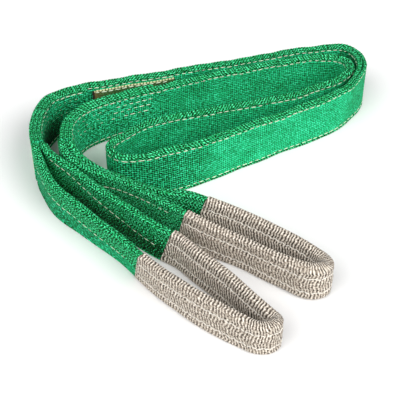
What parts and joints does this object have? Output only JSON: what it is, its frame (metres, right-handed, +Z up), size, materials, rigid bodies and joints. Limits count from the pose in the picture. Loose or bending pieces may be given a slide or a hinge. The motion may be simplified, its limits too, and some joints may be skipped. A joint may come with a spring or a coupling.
{
  "type": "flat_web_sling",
  "caption": "Flat two-ply woven lifting sling with a sleeved soft eye at each end, folded into a coil and standing on its edge.",
  "frame": {"origin": "on the ground under the middle of the coiled sling's box", "axes": "+Z up, along the width of the webbing; +Y away from the eyes, towards the far strand of the coil; +X from the throats towards the coil's right-hand bends"},
  "size_m": [0.4308, 0.5034, 0.06],
  "materials": {
    "webbing": "woven polyester, slight sheen",
    "sleeve": "coarse herringbone weave, matte",
    "thread": "twisted polyester thread",
    "label": "plain woven tape, matte"
  },
  "bodies": {
    "coil": {"outer_ply": "webbing", "inner_ply": "webbing", "lower_lap": "webbing", "upper_lap": "webbing", "top_edge_seam": "thread", "bottom_edge_seam": "thread", "lower_splice_seam": "thread", "upper_splice_seam": "thread", "lower_throat_tack": "thread", "upper_throat_tack": "thread", "id_label": "label", "label_seam": "thread"},
    "lower_eye": {"lower_eye_web": "webbing", "lower_eye_sleeve": "sleeve", "lower_fold_seam": "thread", "lower_sleeve_top_seam": "thread", "lower_sleeve_bottom_seam": "thread"},
    "upper_eye": {"upper_eye_web": "webbing", "upper_eye_sleeve": "sleeve", "upper_fold_seam": "thread", "upper_sleeve_top_seam": "thread", "upper_sleeve_bottom_seam": "thread"}
  },
  "joints": [
    {"name": "lower_eye_swing", "type": "hinge", "parent": "coil", "child": "lower_eye", "pos_m": [-0.1968, 0.0235, 0], "axis": [0, 0, 1], "range_deg": [-12, 0]},
    {"name": "upper_eye_swing", "type": "hinge", "parent": "coil", "child": "upper_eye", "pos_m": [-0.1663, 0.0295, 0], "axis": [0, 0, 1], "range_deg": [-5, 0]}
  ]
}
